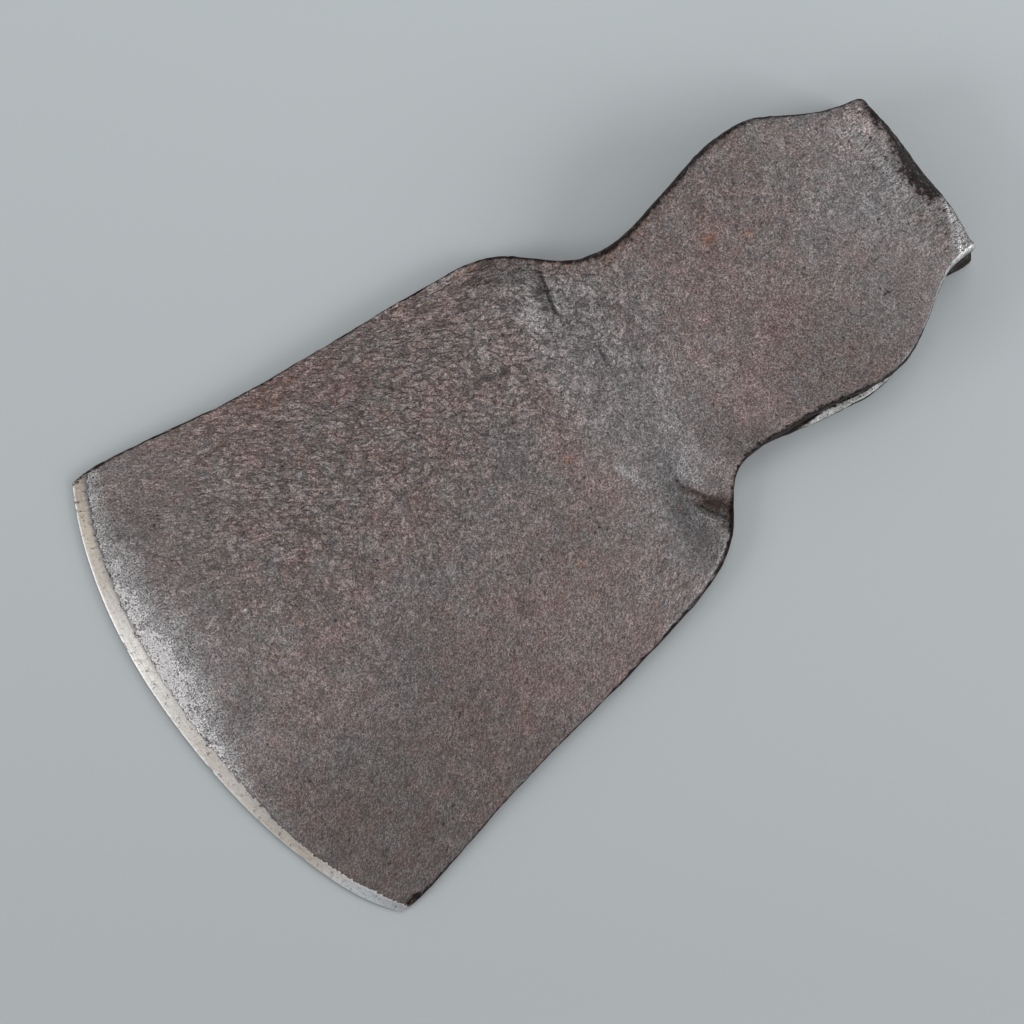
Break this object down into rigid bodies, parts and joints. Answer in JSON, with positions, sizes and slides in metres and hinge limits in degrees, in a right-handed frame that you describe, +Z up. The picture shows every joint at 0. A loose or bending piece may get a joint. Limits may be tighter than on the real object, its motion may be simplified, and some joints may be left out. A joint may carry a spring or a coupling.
{
  "type": "side axe head",
  "caption": "Forged side axe head lying on its flat back: wide blade with a curved ground edge, narrow neck, and an eared eye for a handle, open right through.",
  "frame": {"origin": "middle of the footprint, on the plane of the flat back that the head lies on", "axes": "+X from the cutting edge towards the poll, +Y across the blade along the eye, +Z up from the flat back to the bevelled face"},
  "size_m": [0.264, 0.1554, 0.0324],
  "materials": {
    "forged_iron": "matte"
  },
  "bodies": {
    "root": {"axe_head": "forged_iron"}
  },
  "joints": []
}
